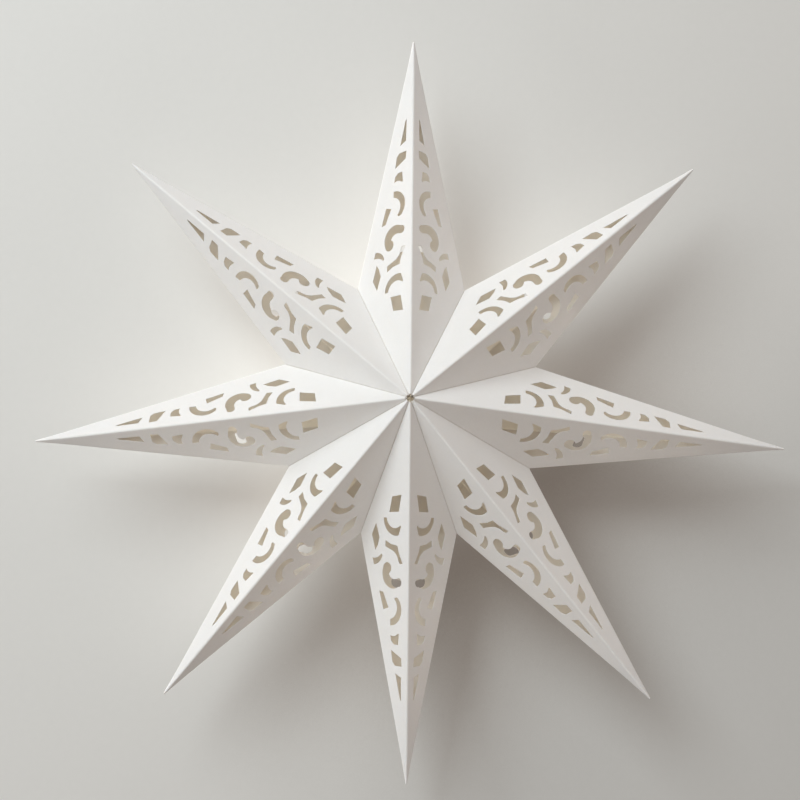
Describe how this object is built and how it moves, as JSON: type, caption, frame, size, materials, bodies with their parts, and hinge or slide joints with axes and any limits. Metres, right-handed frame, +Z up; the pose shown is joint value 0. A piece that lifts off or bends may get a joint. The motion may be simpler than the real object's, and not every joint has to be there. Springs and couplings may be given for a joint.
{
  "type": "hanging paper star",
  "caption": "Large hollow star of folded white card with long pyramid points, a pattern of cut-out windows on every front facet and one slot in every back facet, for hanging flat against a wall or in a window.",
  "frame": {"origin": "centre of the star, midway between the front and back apexes and between the outermost tips", "axes": "+Z up through the top tip, -Y out of the front apex toward the viewer, +X to the viewer's right"},
  "size_m": [0.5974, 0.125, 0.6],
  "materials": {
    "card": "matt uncoated white card"
  },
  "bodies": {
    "root": {"point_top": "card", "point_upper_right": "card", "point_right": "card", "point_lower_right": "card", "point_bottom": "card", "point_lower_left": "card", "point_left": "card", "point_upper_left": "card"}
  },
  "joints": []
}
